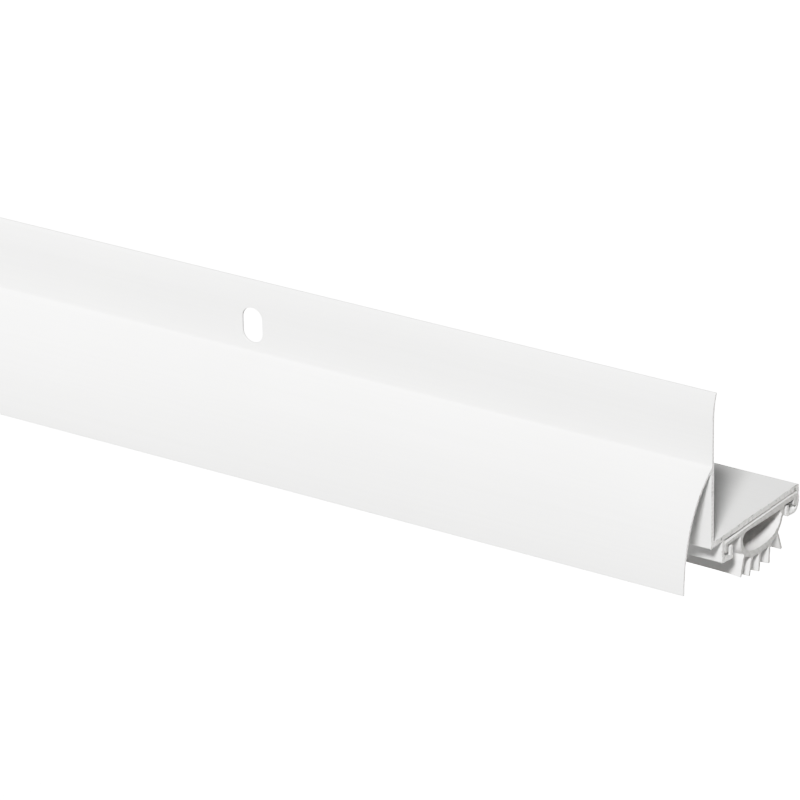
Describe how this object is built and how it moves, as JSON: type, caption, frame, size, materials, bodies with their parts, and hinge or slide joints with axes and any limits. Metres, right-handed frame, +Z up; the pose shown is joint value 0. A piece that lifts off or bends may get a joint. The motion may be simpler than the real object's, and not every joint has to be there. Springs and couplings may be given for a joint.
{
  "type": "door bottom sweep",
  "caption": "L-shaped aluminium door bottom with a drip cap, a shelf for the door's edge and a slide-in soft bulb-and-fin seal.",
  "frame": {"origin": "on the flange's flat door face, at mid-length and at the height of the screw slots' centres", "axes": "+X along the sweep's length, +Y from the outside into the door, +Z up"},
  "size_m": [0.9144, 0.0598, 0.0608],
  "materials": {
    "white_enamel": "satin",
    "white_vinyl": "matte"
  },
  "bodies": {
    "carrier": {"carrier": "white_enamel"},
    "seal": {"seal_base": "white_vinyl", "bulb_front_wall": "white_vinyl", "bulb_back_wall": "white_vinyl"},
    "sole": {"bulb_sole": "white_vinyl"},
    "fin_1": {"fin_1": "white_vinyl"},
    "fin_2": {"fin_2": "white_vinyl"},
    "fin_3": {"fin_3": "white_vinyl"},
    "fin_4": {"fin_4": "white_vinyl"},
    "fin_5": {"fin_5": "white_vinyl"}
  },
  "joints": [
    {"name": "seal_slide", "type": "slide", "parent": "carrier", "child": "seal", "axis": [1, 0, 0], "range_m": [0, 0.92]},
    {"name": "bulb_squash", "type": "slide", "parent": "seal", "child": "sole", "axis": [0, 0, 1], "range_m": [0, 0.0035], "stiffness_N_per_m": 5000, "deforming": ["bulb_front_wall", "bulb_back_wall"]},
    {"name": "fin_1_bend", "type": "hinge", "parent": "sole", "child": "fin_1", "pos_m": [0, 0.01544, -0.04026], "axis": [1, 0, 0], "range_deg": [-50, 50], "stiffness_Nm_per_rad": 0.01},
    {"name": "fin_2_bend", "type": "hinge", "parent": "sole", "child": "fin_2", "pos_m": [0, 0.02009, -0.04269], "axis": [1, 0, 0], "range_deg": [-50, 50], "stiffness_Nm_per_rad": 0.01},
    {"name": "fin_3_bend", "type": "hinge", "parent": "sole", "child": "fin_3", "pos_m": [0, 0.02445, -0.04315], "axis": [1, 0, 0], "range_deg": [-50, 50], "stiffness_Nm_per_rad": 0.01},
    {"name": "fin_4_bend", "type": "hinge", "parent": "sole", "child": "fin_4", "pos_m": [0, 0.02948, -0.04279], "axis": [1, 0, 0], "range_deg": [-50, 50], "stiffness_Nm_per_rad": 0.01},
    {"name": "fin_5_bend", "type": "hinge", "parent": "sole", "child": "fin_5", "pos_m": [0, 0.03386, -0.0409], "axis": [1, 0, 0], "range_deg": [-50, 50], "stiffness_Nm_per_rad": 0.01}
  ],
  "couplings": [
    {"joint": "fin_2_bend", "follows": "fin_1_bend", "ratio": 1},
    {"joint": "fin_3_bend", "follows": "fin_1_bend", "ratio": 1},
    {"joint": "fin_4_bend", "follows": "fin_1_bend", "ratio": 1},
    {"joint": "fin_5_bend", "follows": "fin_1_bend", "ratio": 1}
  ]
}
